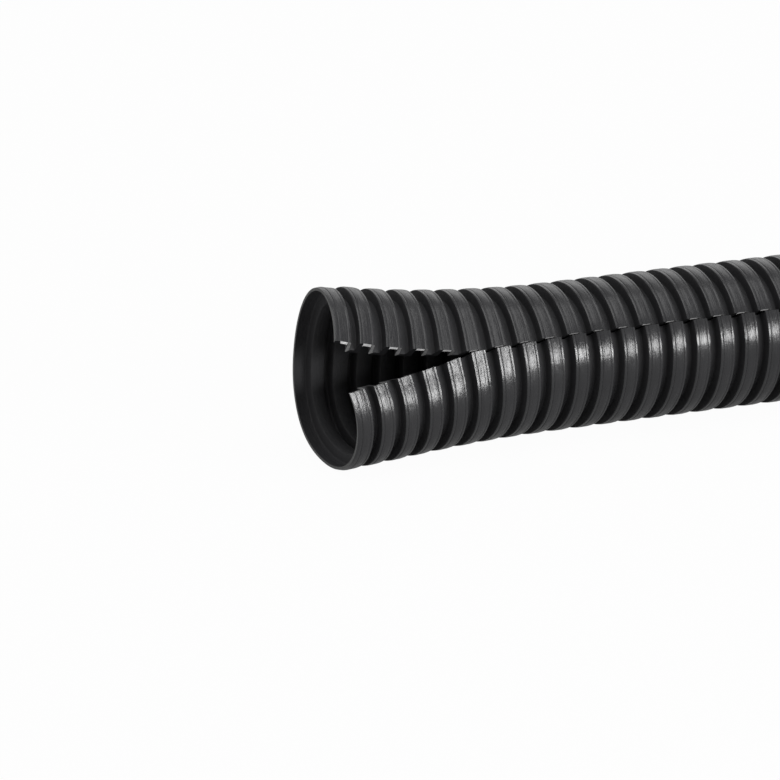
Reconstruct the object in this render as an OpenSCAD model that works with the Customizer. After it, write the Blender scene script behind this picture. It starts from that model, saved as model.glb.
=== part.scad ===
// Slit corrugated conduit: a cut length of thin-walled, ribbed plastic tube that is
// split along one side. One end is prised open, so that its two lips part in a V.
// The tube lies on the floor along +X in a gentle bend, with its slit facing -Y.

/* [Tube] */
// Outside diameter over the ribs
outside_d = 28.5; // [27:0.1:36]
// Diameter over the groove bottoms
groove_d = 24.2; // [20:0.1:25]
// Thickness of the wall
wall = 0.65; // [0.5:0.05:0.8]
// Distance from rib to rib
pitch = 5.25; // [5.2:0.05:7]
// Width of a rib over its top and shoulders
rib_w = 2.65; // [2.5:0.05:3]
// Width of a groove's flat bottom
groove_w = 2.1; // [1.6:0.05:2.3]
// Height and width of the shoulder at the edge of a rib
shoulder = 0.35; // [0.1:0.05:0.5]

/* [Stock] */
// Straight runs of ribs that the bend is stepped in
runs = 18; // [3:20]
// Ribs in one run, with the rib that joins it to the next
run_ribs = 10; // [4:11]
// Radius of the bend along the middle of the tube
bend_r = 3000; // [1500:100:4000]

/* [Slit] */
// Width of the closed slit
slit_w = 0.3; // [0.2:0.05:0.6]
// Height of the slit on the side of the tube, in degrees above level
slit_a = 31.8; // [0:0.1:45]

/* [Open end] */
// Ribs over which the open end goes over into the round tube
open_ribs = 10; // [7:12]
// Ribs from the cut end to the point of the V
v_ribs = 5.1; // [3:0.1:6]
// Angle that the V opens to at the cut end, seen from the tube's middle
v_angle = 52.6; // [20:0.2:60]
// Oval of the mouth: its radius is this much less towards the slit and more across it
oval = 3.45; // [0:0.05:4]
// Turn of the oval: the radius is this much less below the slit and more above it
skew = 0.5; // [0:0.1:2]
// Pear shape of the mouth: its radius is this much less at the slit and more behind it
pear = 2.2; // [0:0.1:3]
// Squareness of the mouth: its radius is this much more at four corners than between them
square = 1.1; // [0:0.1:2]
// How far the mouth is pushed out towards the slit
push = 1.5; // [0:0.1:3]
// Angle by which the mouth's top leans back from square
lean = 3.5; // [0:0.1:8]
// Plain groove that is left outside the first and the last rib
stub = 0.3; // [0.2:0.1:1]

/* [Hidden] */
$fn = 96;
plastic = [0.09, 0.09, 0.1];

rib_r = outside_d / 2;
groove_r = groove_d / 2;
bore_r = groove_r - wall;
foot = (pitch - groove_w) / 2;                // half the width of a rib at its foot
slit_half = asin(slit_w / 2 / rib_r);
run_l = run_ribs * pitch;
turn = run_l / bend_r * 180 / PI;             // bend from one run to the next
embed = 0.15;                                 // tube ends pass a joining rib's side by this
reach = embed + groove_r * tan(turn / 2);     // and by this where they are tilted
open_l = open_ribs * pitch;
ease = 0.15;                                  // share of the opening that is eased out
around = 28;                                  // flats round the open end's wall

// ---- the wall of a rib whose middle is at z, as [radius, distance along the tube] -----
function rib_out(z) = [
    [groove_r, z - foot],
    [rib_r - shoulder, z - rib_w / 2],
    [rib_r, z - rib_w / 2 + shoulder],
    [rib_r, z + rib_w / 2 - shoulder],
    [rib_r - shoulder, z + rib_w / 2],
    [groove_r, z + foot]];
function rib_in(z) = [
    [bore_r, z - foot + wall],
    [rib_r - wall - shoulder, z - rib_w / 2 + wall],
    [rib_r - wall, z - rib_w / 2 + wall + shoulder],
    [rib_r - wall, z + rib_w / 2 - wall - shoulder],
    [rib_r - wall - shoulder, z + rib_w / 2 - wall],
    [bore_r, z + foot - wall]];
function reversed(list) = [for (i = [len(list) - 1 : -1 : 0]) list[i]];

// ---- a straight run: one turned wall of ribs, with a tube end on both sides ------------
// It starts and stops half-way through a joining rib, or stops at the far end's cut.
module run(last = false) {
    ribs = run_ribs - 1;
    mids = [for (i = [1 : ribs]) i * pitch];
    start = foot - wall - reach;
    end = last ? mids[ribs - 1] + foot + stub : run_l - start;
    rotate_extrude(angle = 360 - 2 * slit_half, start = slit_half)
        polygon(concat(
            [[bore_r, start], [groove_r, start]],
            [for (z = mids) each rib_out(z)],
            [[groove_r, end], [bore_r, end]],
            [for (z = reversed(mids)) each reversed(rib_in(z))]));
}

// ---- a joining rib: its sides stand on the two tube ends that meet inside it ----------
module joining_rib() {
    foot_r = groove_r - wall / 2;
    flank = (foot - rib_w / 2) / (rib_r - shoulder - groove_r);
    foot_z = foot + flank * (groove_r - foot_r);  // the flanks run on into the tube's wall
    joint_slit = 1.3 * slit_half;
    rotate_extrude(angle = 360 - 2 * joint_slit, start = joint_slit)
        polygon(concat(
            [[foot_r, -foot_z]], [for (i = [1 : 4]) rib_out(0)[i]],
            [[foot_r, foot_z], [foot_r, foot - wall]],
            [for (i = [4 : -1 : 1]) rib_in(0)[i]], [[foot_r, wall - foot]]));
}

// ---- the open end: one wall that changes from a gaping pear to the round tube ---------
// Share of the opening that is left at distance s: it falls evenly and then eases to none
function share(s) = let (x = max(0, 1 - s / open_l))
    (x < ease ? x * x / ease / 2 : x - ease / 2) / (1 - ease / 2);
function half_gap(s) = slit_half + max(0, 1 - s / (v_ribs * pitch)) * v_angle / 2;
// Radius over the ribs at angle a, counted from the slit and positive below it
function radius(s, a) = rib_r - oval * pow(share(s), 2) * cos(2 * a)
    - share(s) * (skew * sin(2 * a) + pear * cos(3 * a) + square / 2 * cos(4 * a));
// How far the lowest point must sink to rest on the floor, as the round tube does
function sink(s) = rib_r + min([for (b = [-40 : 2 : 40]) -radius(s, slit_a + 90 + b) * cos(b)]);
// One ring of points round the wall at distance s, at depth d below the ribs' tops
function ring(s, d) = let (down = sink(s), out = push * pow(share(s), 2))
    [for (k = [0 : around])
        let (a = half_gap(s) + (360 - 2 * half_gap(s)) * k / around,
             r = radius(s, a) - d,
             up = r * sin(slit_a - a) - down,
             near = r * cos(slit_a - a) + out)
        [near * cos(slit_a) + up * sin(slit_a), near * sin(slit_a) - up * cos(slit_a),
         s + up * tan(lean) * share(s)]];

module open_end() {
    groove_depth = rib_r - groove_r;
    mids = [for (i = [0 : open_ribs - 1]) stub + foot + i * pitch];
    end = mids[open_ribs - 1] + pitch - foot + wall + reach;
    outer = concat([[0, groove_depth]],
        [for (z = mids) each [for (p = rib_out(z)) [p[1], rib_r - p[0]]]],
        [[end, groove_depth]]);
    inner = concat([[0, groove_depth + wall]],
        [for (z = mids) each [for (p = rib_in(z)) [p[1], rib_r - p[0]]]],
        [[end, groove_depth + wall]]);
    rows = len(outer);
    cols = around + 1;
    inside = rows * cols;
    function quad(a, b, c, d) = [[a, b, c], [a, c, d]];
    polyhedron(
        concat([for (p = outer) each ring(p[0], p[1])], [for (p = inner) each ring(p[0], p[1])]),
        concat(
            [for (i = [0 : rows - 2], k = [0 : around - 1]) let (a = i * cols + k)
                each quad(a, a + cols, a + cols + 1, a + 1)],
            [for (i = [0 : rows - 2], k = [0 : around - 1]) let (a = inside + i * cols + k)
                each quad(a, a + 1, a + cols + 1, a + cols)],
            [for (k = [0 : around - 1])
                each quad(k, k + 1, inside + k + 1, inside + k)],
            [for (k = [0 : around - 1]) let (a = (rows - 1) * cols + k)
                each quad(a, inside + a, inside + a + 1, a + 1)],
            [for (i = [0 : rows - 2]) let (a = i * cols)
                each quad(a, inside + a, inside + a + cols, a + cols)],
            [for (i = [0 : rows - 2]) let (a = i * cols + around)
                each quad(a, a + cols, inside + a + cols, inside + a)]));
}

// ---- the bend: the runs follow each other, each turned a little from the last ---------
first_l = stub + foot + open_ribs * pitch;    // from the cut end to the first joining rib
last_l = run_l - pitch + foot + stub;         // from the last joining rib to the far end
function heading(i) = (runs / 2 - i) * turn;
function direction(i) = [cos(heading(i)), sin(heading(i))];
// Where the first piece (i = 0) or the i-th run starts
function corner(i) = i == 0 ? [0, 0] : corner(i - 1) + direction(i - 1) * (i == 1 ? first_l : run_l);
far = corner(runs) + direction(runs) * last_l;
// Points of the mouth in plan: they and the far end's edge and the bend's back bound the tube
mouth = [for (p = concat(ring(0, rib_r - groove_r), ring(stub + foot, 0)))
    let (near = p[0] * cos(slit_a) + p[1] * sin(slit_a))
    direction(0) * p[2] + [direction(0)[1], -direction(0)[0]] * near];
middle = [(min([for (p = mouth) p[0]]) + far[0] - groove_r * direction(runs)[1]) / 2,
    (min([for (p = mouth) p[1]]) + corner(floor(runs / 2) + 1)[1] + rib_r) / 2];

// Puts a piece of tube, drawn from the origin along +Z with its slit at +X, on the bend
module on_bend(p, angle)
    translate([p[0] - middle[0], p[1] - middle[1], rib_r])
        rotate([0, 0, angle]) rotate([-90 - slit_a, 0, 0]) rotate([0, 90, 0]) children();

module conduit() color(plastic) {
    on_bend(corner(0), heading(0)) open_end();
    for (i = [1 : runs]) {
        on_bend(corner(i), (heading(i - 1) + heading(i)) / 2) joining_rib();
        on_bend(corner(i), heading(i)) run(last = i == runs);
    }
}

conduit();
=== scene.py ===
"""Slit corrugated conduit: a finer wall, its plastic, the light and the camera."""

import math

import bpy
import numpy as np
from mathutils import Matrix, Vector


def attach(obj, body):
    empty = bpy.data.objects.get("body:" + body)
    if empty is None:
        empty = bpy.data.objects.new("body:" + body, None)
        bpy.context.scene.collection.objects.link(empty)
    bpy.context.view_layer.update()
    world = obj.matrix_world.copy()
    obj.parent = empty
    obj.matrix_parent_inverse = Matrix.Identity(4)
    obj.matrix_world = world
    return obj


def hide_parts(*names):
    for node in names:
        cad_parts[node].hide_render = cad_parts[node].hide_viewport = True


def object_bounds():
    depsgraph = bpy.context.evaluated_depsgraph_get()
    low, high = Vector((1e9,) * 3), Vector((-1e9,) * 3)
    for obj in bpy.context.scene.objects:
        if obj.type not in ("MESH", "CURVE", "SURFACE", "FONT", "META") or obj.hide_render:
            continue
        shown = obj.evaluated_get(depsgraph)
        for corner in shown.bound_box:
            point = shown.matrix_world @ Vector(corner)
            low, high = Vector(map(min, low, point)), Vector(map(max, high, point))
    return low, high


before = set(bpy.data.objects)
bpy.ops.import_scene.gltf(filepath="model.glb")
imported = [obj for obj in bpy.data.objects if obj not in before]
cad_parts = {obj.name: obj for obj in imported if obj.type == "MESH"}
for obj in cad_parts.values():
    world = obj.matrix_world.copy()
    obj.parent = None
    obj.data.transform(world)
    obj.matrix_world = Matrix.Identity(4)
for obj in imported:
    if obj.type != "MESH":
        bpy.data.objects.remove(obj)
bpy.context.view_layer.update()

MM = 0.001                                  # a millimetre, in the scene's metres

# ---- the tube, in mm and radians, as in the part's source -------------------------------
RIB_R = 14.25                               # radius over the ribs
GROOVE = 2.15                               # depth of a groove below the ribs' tops
WALL = 0.65
PITCH = 5.25
FOOT = 1.575                                # half the width of a rib at its foot
STUB = 0.3                                  # plain wall outside the first and the last rib
OPEN_RIBS = 10
RUNS, RUN_RIBS = 18, 10                     # the source's straight runs, and the ribs of each
BEND_R = 3000.0
START = (-495.956, -19.5147)                # middle of the tube at its open end, in plan
SLIT_A = math.radians(31.8)                 # height of the slit on the side of the tube
SLIT_HALF = math.asin(0.15 / RIB_R)

RUN_L = RUN_RIBS * PITCH
FIRST_L = STUB + FOOT + OPEN_RIBS * PITCH   # from the cut to the source's first joining rib
LAST_L = RUN_L - PITCH + FOOT + STUB        # and from its last one to the far end
LENGTH = FIRST_L + (RUNS - 1) * RUN_L + LAST_L
HEADING = RUNS / 2 * RUN_L / BEND_R         # of the open end, from +X towards +Y
RIBS = OPEN_RIBS + RUNS * RUN_RIBS

# ---- the open end, as in the source ------------------------------------------------------
OPEN_L = OPEN_RIBS * PITCH
EASE = 0.15                                 # share of the opening that is eased out
V_L = 5.1 * PITCH                           # the V's length, and half its angle at the cut
V_HALF = math.radians(26.3)
OVAL, SKEW, PEAR, SQUARE, PUSH = 3.45, 0.5, 2.2, 1.1, 1.5
LEAN = math.tan(math.radians(3.5))
BELOW = np.radians(np.linspace(-60, 60, 61))    # the lowest point is this near to straight down

# ---- finer than the source ---------------------------------------------------------------
# A pair says where a change is still nothing and where it is complete. Names with _S are
# distances from the cut.
SHIFT = -0.42                               # move of all ribs but the first, along the tube
SLIP, SLIP_S = 1.25, (200, 100)             # the upper lip is this much nearer to the cut
WANDER = 0.38                               # the upper half's ribs wander along the tube by this,
WANDER_S = [(1, (4, 18)), (-1.8, (45, 105)), (0.8, (110, 170))]    # in these shares of it
UPPER_HALF = (0.5, 0.75)                    # shares of the way round from the lower lip
DROOP, DROOP_S = 0.55, (6, 2)               # the top of the first rib is pressed down by this,
DROOP_UP = (4, 14)                          # at these heights over the tube's middle
LIPS_OUT = 4.6                              # the lips of the mouth stand out this much further,
LIPS_WAY = np.array([-0.284, -0.921, 0.266])    # this way, mostly to the front.
LIPS_REACH = math.radians(58)               # The wall on both sides follows them up to here,
LIPS_S_POWER, LIPS_A_POWER = 0.7, 1.5       # and it fades along and round by these powers

# The wall over half a pitch, as (distance from the rib's middle, depth): outside and inside.
# A rib has a band and a narrow strip on both sides of it, set off by a fine line.
HALF = PITCH / 2
BORE = GROOVE + WALL
OUTSIDE = [(0, 0), (0.78, 0), (0.82, 0.01), (0.86, 0.09), (0.92, 0.10), (0.97, 0.05),
           (1.02, 0.03), (1.40, 0.075), (1.46, 0.09), (1.50, 0.14), (1.53, 0.30), (1.58, 1.15),
           (1.63, 1.95), (1.67, 2.08), (1.75, 2.14), (1.85, GROOVE), (HALF, GROOVE)]
INSIDE = [(0, WALL), (0.55, WALL), (0.68, 0.68), (0.82, 0.85), (0.86, 1.08), (0.98, 2.5),
          (1.03, 2.7), (1.14, BORE), (HALF, BORE)]
OUTSIDE_FAR = [(0, 0), (0.80, 0), (0.87, 0.09), (1.0, 0.03), (1.42, 0.04), (1.51, 0.15),
               (1.62, 1.95), (1.75, GROOVE), (HALF, GROOVE)]
INSIDE_FAR = [(0, WALL), (0.60, WALL), (0.84, 1.0), (1.0, 2.7), (1.14, BORE), (HALF, BORE)]
# As (distance, depth): the first rib keeps its form up to that distance from its middle, and
# runs on from there to the cut, where it has that depth.
FIRST_OUTSIDE, FIRST_INSIDE = (1.02, 0.30), (0.55, 0.85)
TOLERANCE = 0.001

# ---- materials of the faces --------------------------------------------------------------
SKIN, GROOVES, CUT_END, LOWER_LIP, UPPER_LIP, LIP_SHADE = range(6)
# Painted shade: deeper strips, the bore and the lower lip's rest take the groove plastic, a
# duller, less shiny copy that is paler in colour.
DEEP = 0.2                                  # mean depth from which a strip is in a groove
# These sort the lips' cut faces: bands and far flanks are painted paler as painted light, the
# rest darker as painted shade.
BAND = 0.8                                  # a lip's cut faces this near to a rib's middle are
FLANK = (0.95, 1.7)                         # its band, and those between these its far flank
FIRST_RIB_L = 0.7 * PITCH                   # cut faces up to here are the first rib's

# ---- pieces ------------------------------------------------------------------------------
MOUTH_RIBS, NEAR_RIBS = 11, 22              # the first two pieces end before these ribs
FAR_PIECES = 4
MOUTH_FLATS, NEAR_FLATS, FAR_FLATS = 128, 112, 64     # round the wall


def step(x, nothing, complete):
    """Goes smoothly from 0, where x has the first value, to 1, where it has the second."""
    x = np.clip((x - nothing) / (complete - nothing), 0, 1)
    return x * x * (3 - 2 * x)


def route(z):
    """The tube's middle in plan and its heading: straight, and then one smooth arc."""
    straight = FIRST_L - RUN_L / 2
    ahead = np.minimum(z, straight)
    heading = HEADING - np.clip(z - straight, 0, None) / BEND_R
    x = START[0] + math.cos(HEADING) * ahead + BEND_R * (math.sin(HEADING) - np.sin(heading))
    y = START[1] + math.sin(HEADING) * ahead + BEND_R * (np.cos(heading) - math.cos(HEADING))
    return x, y, heading


def share(s):
    """Share of the opening that is left at distance s: it falls evenly, then eases to none."""
    x = np.clip(1 - s / OPEN_L, 0, 1)
    return np.where(x < EASE, x * x / EASE / 2, x - EASE / 2) / (1 - EASE / 2)


def half_gap(s):
    """Half the slit's angle at distance s, seen from the tube's middle."""
    return SLIT_HALF + np.maximum(0, 1 - s / V_L) * V_HALF


def radius(o, a):
    """Radius over the ribs at angle a below the slit, where share o of the opening is left."""
    return (RIB_R - OVAL * o ** 2 * np.cos(2 * a)
            - o * (SKEW * np.sin(2 * a) + PEAR * np.cos(3 * a) + SQUARE / 2 * np.cos(4 * a)))


def section(o, a, depth):
    """How far the wall is in front of the tube's middle and above it, resting on the floor."""
    heights = -radius(o, SLIT_A + math.pi / 2 + BELOW) * np.cos(BELOW)
    sink = RIB_R + np.min(heights, axis=1, keepdims=True)
    r = radius(o, a) - depth
    return r * np.cos(SLIT_A - a) + PUSH * o ** 2, r * np.sin(SLIT_A - a) - sink


def wall_points(rows, way_round):
    """Points in metres of rows (s, depth) of the wall, at shares of the way round it."""
    s, depth = rows[:, :1], rows[:, 1:]
    gap, o = half_gap(s), share(s)
    a = gap + (2 * math.pi - 2 * gap) * way_round
    front, up = section(o, a, depth)
    up = up - DROOP * step(s, *DROOP_S) * step(up, *DROOP_UP)
    slip = SLIP * step(s, *SLIP_S) * (way_round - 0.5)
    wander = WANDER * sum(part * step(s, *where) for part, where in WANDER_S)
    x, y, heading = route(s + o * up * LEAN - slip + wander * step(way_round, *UPPER_HALF))
    place = np.stack([x + np.sin(heading) * front, y - np.cos(heading) * front, RIB_R + up], -1)
    beyond = np.minimum(a, 2 * math.pi - a) - gap
    near_lip = np.clip(1 - beyond / (LIPS_REACH - gap), 0, 1) ** LIPS_A_POWER
    out = LIPS_OUT * o ** LIPS_S_POWER * near_lip
    return (place + out[..., None] * LIPS_WAY) * MM


def wall_places(rows, arc):
    """Where such points are on the unrolled wall, in metres: round it, along it and deep."""
    return np.stack(np.broadcast_arrays(arc, rows[:, :1] * MM, rows[:, 1:] * MM), -1)


def middle(n):
    """Distance of the middle of rib n from the cut."""
    return STUB + FOOT + n * PITCH + (SHIFT if n else 0)


def profile(half, first, last, first_rib):
    """Rows (s, depth) of the wall from rib first up to, but not with, rib last."""
    both = [(-t, depth) for t, depth in half[:0:-1]] + half
    rows = []
    for n in range(first, last):
        rows += [(middle(n) + t, depth) for t, depth in both[(1 if n > first else 0):]]
    rows = np.array(rows)
    if first == 0:
        kept, depth_at_cut = first_rib
        rows = rows[rows[:, 0] > middle(0) - kept - TOLERANCE]
        rows = np.vstack([[0, depth_at_cut], rows])
    if last == RIBS:
        rows = rows[rows[:, 0] < LENGTH]
        rows = np.vstack([rows, [LENGTH, rows[-1, 1]]])
    return rows


def grid_faces(rows, cols):
    """Quads of a grid of points that come row by row."""
    i = np.arange(rows - 1)[:, None] * cols + np.arange(cols - 1)
    return np.stack([i, i + 1, i + cols + 1, i + cols], -1).reshape(-1, 4)


def end_faces(cols):
    """Quads between the outer and the inner row of the open end's cut."""
    i = np.arange(cols - 1)
    return np.stack([i, i + cols, i + cols + 1, i + 1], -1)


def lip_faces(outer, inner):
    """Triangles between two lines of points along the tube, taken by their distances."""
    faces, i, j = [], 0, 0
    while i < len(outer) - 1 or j < len(inner) - 1:
        if j == len(inner) - 1 or (i < len(outer) - 1 and outer[i + 1] <= inner[j + 1]):
            faces.append((i, i + 1, len(outer) + j))
            i += 1
        else:
            faces.append((i, len(outer) + j + 1, len(outer) + j))
            j += 1
    return np.array(faces)


def lip_kinds(s, band, rest):
    """Materials of a lip's cut faces at distances s: ribs' bands, their far flanks, the rest.
    Bands and flanks take paler cut plastic, partly painted light; the rest takes darker plastic
    as painted shade.
    """
    off = s - np.where(s < FIRST_RIB_L, middle(0), middle(1))
    off = (off + HALF) % PITCH - HALF
    flank = (off > FLANK[0]) & (off < FLANK[1])
    return np.where(np.abs(off) < BAND, band, np.where(flank, LOWER_LIP, rest))


def linked(name, data):
    """A new object in the scene."""
    thing = bpy.data.objects.new(name, data)
    bpy.context.scene.collection.objects.link(thing)
    return thing


class Faces:
    """Gathers the faces of one piece, with their points' places and their materials."""

    def __init__(self):
        self.points, self.places, self.faces, self.kinds, self.smooth = [], [], [], [], []
        self.count = 0

    def add(self, points, places, faces, kinds, smooth=False):
        """Adds points and the faces between them, which count these points from 0."""
        self.points.append(points.reshape(-1, 3))
        self.places.append(places.reshape(-1, 3))
        self.faces.append(faces + self.count)
        self.kinds.append(np.broadcast_to(kinds, len(faces)))
        self.smooth.append(np.full(len(faces), smooth))
        self.count += len(self.points[-1])

    def piece(self, name):
        """The Blender object of all that was added."""
        mesh = bpy.data.meshes.new(name)
        corners = np.concatenate([faces.ravel() for faces in self.faces])
        sizes = np.concatenate([np.full(len(faces), faces.shape[1]) for faces in self.faces])
        starts = np.cumsum(sizes) - sizes
        places = np.concatenate(self.places)
        mesh.vertices.add(self.count)
        mesh.vertices.foreach_set("co", np.concatenate(self.points).astype(np.float32).ravel())
        mesh.loops.add(len(corners))
        mesh.loops.foreach_set("vertex_index", corners.astype(np.int32))
        mesh.polygons.add(len(sizes))
        mesh.polygons.foreach_set("loop_start", starts.astype(np.int32))
        mesh.polygons.foreach_set("use_smooth", np.concatenate(self.smooth))
        mesh.polygons.foreach_set("material_index", np.concatenate(self.kinds).astype(np.int32))
        attribute = mesh.attributes.new("wall", "FLOAT_VECTOR", "POINT")
        attribute.data.foreach_set("vector", places.astype(np.float32).ravel())
        mesh.update(calc_edges=True)
        mesh.validate()
        return linked(name, mesh)


def wall(name, first, last, flats, outside, inside):
    """One piece of the split wall, closed at the slit and at the tube's two cut ends."""
    outer = profile(outside, first, last, FIRST_OUTSIDE)
    inner = profile(inside, first, last, FIRST_INSIDE)
    both = np.concatenate([outer, inner])
    way_round = np.linspace(0, 1, flats + 1)
    cols = len(way_round)
    arc = way_round * 2 * math.pi * RIB_R * MM
    outer_points, inner_points = wall_points(outer, way_round), wall_points(inner, way_round)
    # painted shade: strips deeper than DEEP take the duller groove plastic
    strips = np.where(outer[:-1, 1] + outer[1:, 1] > 2 * DEEP, GROOVES, SKIN)
    made = Faces()
    made.add(outer_points, wall_places(outer, arc), grid_faces(len(outer), cols),
             np.repeat(strips, flats), smooth=True)
    made.add(inner_points, wall_places(inner, arc), grid_faces(len(inner), cols)[:, ::-1],
             GROOVES, smooth=True)
    for end, is_cut, turn in ((0, first == 0, 1), (-1, last == RIBS, -1)):
        if is_cut:
            made.add(np.stack([outer_points[end], inner_points[end]]),
                     wall_places(np.stack([outer[end], inner[end]]), arc),
                     end_faces(cols)[:, ::turn], CUT_END)
    for side, turn, band, rest in ((0, -1, LOWER_LIP, GROOVES), (-1, 1, UPPER_LIP, LIP_SHADE)):
        faces = lip_faces(outer[:, 0], inner[:, 0])
        made.add(np.concatenate([outer_points[:, side], inner_points[:, side]]),
                 wall_places(both, arc[[side]]), faces[:, ::turn],
                 lip_kinds(both[faces, 0].mean(axis=1), band, rest))
    return made.piece(name)


# ---- materials ---------------------------------------------------------------------------
class Nodes:
    """Short forms for the nodes of one material."""

    def __init__(self, name):
        self.material = bpy.data.materials.new(name)
        self.material.use_nodes = True
        self.tree = self.material.node_tree
        self.shader = self.tree.nodes["Principled BSDF"]

    def add(self, kind, **settings):
        node = self.tree.nodes.new(kind)
        for key, value in settings.items():
            setattr(node, key, value)
        return node

    def put(self, socket, value):
        if isinstance(value, bpy.types.NodeSocket):
            self.tree.links.new(value, socket)
        else:
            socket.default_value = value

    def noise(self, where, scale=1.0, detail=3.0, roughness=0.55):
        node = self.add("ShaderNodeTexNoise")
        self.put(node.inputs["Vector"], where)
        self.put(node.inputs["Scale"], scale)
        self.put(node.inputs["Detail"], detail)
        self.put(node.inputs["Roughness"], roughness)
        return node.outputs["Fac"]

    def stretched(self, where, scales):
        node = self.add("ShaderNodeVectorMath", operation="MULTIPLY")
        self.put(node.inputs[0], where)
        self.put(node.inputs[1], scales)
        return node.outputs[0]

    def ranged(self, value, given, wanted):
        node = self.add("ShaderNodeMapRange")
        for socket, number in zip(node.inputs[:5], (value, *given, *wanted)):
            self.put(socket, number)
        return node.outputs[0]

    def maths(self, operation, a, b):
        node = self.add("ShaderNodeMath", operation=operation)
        self.put(node.inputs[0], a)
        self.put(node.inputs[1], b)
        return node.outputs[0]

    def colours(self, fac, positions, colours):
        node = self.add("ShaderNodeValToRGB")
        for element, position, colour in zip(node.color_ramp.elements, positions, colours):
            element.position = position
            element.color = (*colour, 1)
        self.put(node.inputs[0], fac)
        return node.outputs[0]

    def bump(self, height, distance, normal=None):
        node = self.add("ShaderNodeBump")
        self.put(node.inputs["Height"], height)
        self.put(node.inputs["Distance"], distance)
        self.put(node.inputs["Strength"], 1.0)
        if normal is not None:
            self.put(node.inputs["Normal"], normal)
        return node.outputs[0]


# Scales of noises, per metre. Those in brackets are round the tube, along it and deep.
GRAIN, DUST, CLOUD = 2600.0, 900.0, 90.0
PATCHES, DRAWN_MARKS = (420.0, 1500.0, 0.0), (60.0, 5200.0, 0.0)
KNIFE_MARKS = (900.0, 3200.0, 3200.0)       # but these are along X, Y and Z
MOST = (0.3, 0.7)                           # most of a noise's values are between these
SPECKS = (0.6, 0.8)                         # and few are up here
PLASTIC_IOR = 1.49


def plastic(name, dark, light, rough, specular):
    """Black moulded polypropylene: drawn marks round the tube and a fine grain."""
    n = Nodes(name)
    where = n.add("ShaderNodeAttribute", attribute_name="wall").outputs["Vector"]
    space = n.add("ShaderNodeTexCoord").outputs["Object"]
    grain = n.noise(space, GRAIN, detail=2.0)
    cloud = n.noise(space, CLOUD, detail=4.0)
    patch = n.noise(n.stretched(where, PATCHES), detail=4.0)
    drawn = n.noise(n.stretched(where, DRAWN_MARKS))
    dust = n.noise(space, DUST)
    n.put(n.shader.inputs["Base Color"], n.colours(cloud, MOST, (dark, light)))
    level = n.maths("ADD", n.ranged(cloud, MOST, (rough, rough + 0.05)),
                    n.ranged(drawn, MOST, (-0.04, 0.05)))
    level = n.maths("ADD", level, n.ranged(patch, MOST, (-0.04, 0.04)))
    level = n.maths("ADD", level, n.ranged(dust, SPECKS, (0.0, 0.08)))
    n.put(n.shader.inputs["Roughness"], level)
    n.shader.inputs["IOR"].default_value = PLASTIC_IOR
    n.shader.inputs["Specular IOR Level"].default_value = specular
    normal = n.bump(n.maths("MULTIPLY", grain, 0.5), distance=0.02 * MM)
    normal = n.bump(patch, distance=0.09 * MM, normal=normal)
    n.put(n.shader.inputs["Normal"], n.bump(drawn, distance=0.05 * MM, normal=normal))
    return n.material


def cut_plastic(name, dark, light, rough):
    """The same plastic where the knife went, paler and with the knife's drag marks. On the lips
    its paler settings also paint the light that the cut faces catch.
    """
    n = Nodes(name)
    space = n.add("ShaderNodeTexCoord").outputs["Object"]
    marks = n.noise(n.stretched(space, KNIFE_MARKS))
    n.put(n.shader.inputs["Base Color"], n.colours(marks, MOST, ((dark,) * 3, (light,) * 3)))
    n.put(n.shader.inputs["Roughness"], n.ranged(marks, MOST, (rough, rough + 0.18)))
    n.put(n.shader.inputs["Normal"], n.bump(marks, distance=0.03 * MM))
    return n.material


materials = {
    SKIN: plastic("conduit_plastic", dark=(0.011, 0.011, 0.0122), light=(0.016, 0.016, 0.0175),
                  rough=0.20, specular=0.5),
    # painted shade: half the specular level and rougher than the ribs, to darken the grooves and
    # the bore; its colour is paler
    GROOVES: plastic("conduit_grooves_painted_shade", dark=(0.022, 0.022, 0.0235), light=(0.030, 0.030, 0.032),
                     rough=0.62, specular=0.25),
    CUT_END: cut_plastic("conduit_cut_end", dark=0.05, light=0.09, rough=0.42),
    # paler cut plastic and painted highlight: the lower lip's cut faces and the upper lip's far
    # flanks, lighter than the cut end for the highlight along the lip's edge
    LOWER_LIP: cut_plastic("conduit_lower_lip_cut_and_highlight", dark=0.10, light=0.20, rough=0.35),
    # painted light: the upper lip's cut faces on the ribs are painted pale grey, far paler than
    # the cut end, for the light they catch
    UPPER_LIP: cut_plastic("conduit_upper_lip_painted_light", dark=0.35, light=0.75, rough=0.45),
    # painted shade: near-black, matte plastic on the upper lip's cut faces between the ribs,
    # where they lie in shade
    LIP_SHADE: plastic("conduit_lip_shade", dark=(0.005, 0.005, 0.0055),
                       light=(0.009, 0.009, 0.010), rough=0.75, specular=0.1)}

# ---- the wall in pieces ------------------------------------------------------------------
pieces = [wall("conduit_open_end", 0, MOUTH_RIBS, MOUTH_FLATS, OUTSIDE, INSIDE),
          wall("conduit_near_ribs", MOUTH_RIBS, NEAR_RIBS, NEAR_FLATS, OUTSIDE, INSIDE)]
ends = [int(rib) for rib in np.linspace(NEAR_RIBS, RIBS, FAR_PIECES + 1).round()]
for number, (first, last) in enumerate(zip(ends, ends[1:]), 1):
    pieces.append(wall(f"conduit_far_ribs_{number}", first, last, FAR_FLATS,
                       OUTSIDE_FAR, INSIDE_FAR))
for piece in pieces:
    for kind in sorted(materials):
        piece.data.materials.append(materials[kind])
    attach(piece, "root")
    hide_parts("conduit")

# ---- floor, light and camera -------------------------------------------------------------
FLOOR_HALF = 4.0                            # metres from the floor's middle to its sides
FLOOR_BELOW = 0.0002                        # and from the tube down to it
FLOOR_GREY = 0.5
SHADOW_SEEN = 0.03                          # share of the floor's shading that the camera sees
WHITE_IN_GLOSS = 0.2                        # share of white that glossy surfaces see there
WORLD_LIGHT, WORLD_SEEN = 0.5, 1.0          # strength of its light, and as the camera sees it
LOOK_AT = Vector((-0.489461, -0.045, 0.01972))      # the lamps and the camera look here


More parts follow.
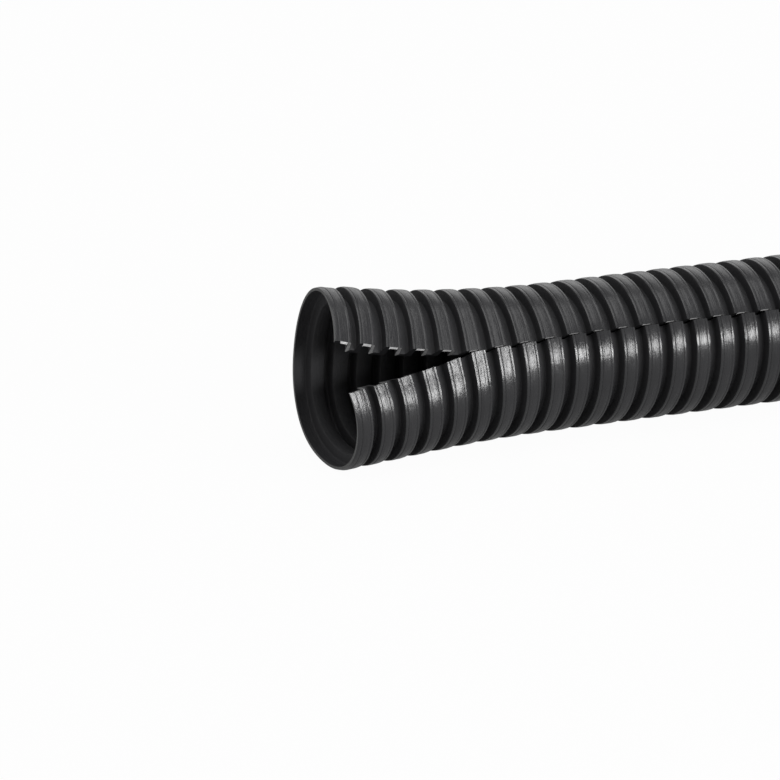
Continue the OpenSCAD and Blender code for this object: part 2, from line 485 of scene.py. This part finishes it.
def floor_white(name):
    """A pale floor that the camera sees as white but for a share of its shadow."""
    n = Nodes(name)
    n.tree.nodes.remove(n.shader)
    diffuse = n.add("ShaderNodeBsdfDiffuse")
    diffuse.inputs["Color"].default_value = (FLOOR_GREY, FLOOR_GREY, FLOOR_GREY, 1)
    white = n.add("ShaderNodeEmission")
    white.inputs["Color"].default_value = (1, 1, 1, 1)
    path = n.add("ShaderNodeLightPath")
    mix = n.add("ShaderNodeMixShader")
    camera = n.maths("MULTIPLY", path.outputs["Is Camera Ray"], 1 - SHADOW_SEEN)
    gloss = n.maths("MAXIMUM", path.outputs["Is Glossy Ray"], path.outputs["Is Transmission Ray"])
    gloss = n.maths("MULTIPLY", gloss, WHITE_IN_GLOSS)
    n.put(mix.inputs["Fac"], n.maths("MAXIMUM", camera, gloss))
    n.put(mix.inputs[1], diffuse.outputs[0])
    n.put(mix.inputs[2], white.outputs[0])
    n.put(n.tree.nodes["Material Output"].inputs["Surface"], mix.outputs[0])
    return n.material


def studio_world():
    """Plain light from all round, which the camera sees as white."""
    world = bpy.data.worlds.new("studio")
    world.use_nodes = True
    tree = world.node_tree
    back = tree.nodes["Background"]
    back.inputs["Color"].default_value = (1, 1, 1, 1)
    path = tree.nodes.new("ShaderNodeLightPath")
    level = tree.nodes.new("ShaderNodeMapRange")
    tree.links.new(path.outputs["Is Camera Ray"], level.inputs[0])
    level.inputs["To Min"].default_value = WORLD_LIGHT
    level.inputs["To Max"].default_value = WORLD_SEEN
    tree.links.new(level.outputs[0], back.inputs["Strength"])
    return world


def aim(thing, azimuth, elevation, distance):
    """Puts a thing so that it looks at LOOK_AT: azimuth is in degrees from -Y towards +X."""
    az, el = math.radians(azimuth), math.radians(elevation)
    way = Vector((math.sin(az) * math.cos(el), -math.cos(az) * math.cos(el), math.sin(el)))
    thing.location = LOOK_AT + way * distance
    thing.rotation_euler = way.to_track_quat("Z", "Y").to_euler()


def softbox(name, width, height, radiance, **stand):
    """A flat lamp that the camera doesn't see."""
    data = bpy.data.lights.new(name, "AREA")
    data.shape = "RECTANGLE"
    data.size, data.size_y = width, height
    data.energy = radiance * math.pi * width * height
    lamp = linked(name, data)
    lamp.visible_camera = False
    aim(lamp, **stand)


floor_mesh = bpy.data.meshes.new("floor")
floor_mesh.from_pydata([(x * FLOOR_HALF, y * FLOOR_HALF, 0)
                        for x, y in ((-1, -1), (1, -1), (1, 1), (-1, 1))], [], [(0, 1, 2, 3)])
floor_mesh.materials.append(floor_white("floor_white"))
tube_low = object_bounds()[0]
floor = linked("floor", floor_mesh)
floor.location.z = tube_low.z - FLOOR_BELOW

bpy.context.scene.world = studio_world()
softbox("overhead", width=1.6, height=1.2, radiance=1.8,
        azimuth=0, elevation=80, distance=1.5)
softbox("front_right", width=0.9, height=0.36, radiance=21.5,
        azimuth=37, elevation=11.5, distance=1.6)
softbox("behind", width=2.2, height=1.2, radiance=0.65,
        azimuth=168, elevation=28, distance=1.8)

camera_data = bpy.data.cameras.new("camera")
camera_data.sensor_width = 36.0
camera_data.lens = 251.74153
camera_data.clip_start, camera_data.clip_end = 0.01, 50.0
camera = linked("camera", camera_data)
aim(camera, azimuth=-17.157, elevation=15.402, distance=1.002734)
bpy.context.scene.camera = camera
bpy.context.scene.view_settings.view_transform = "Standard"
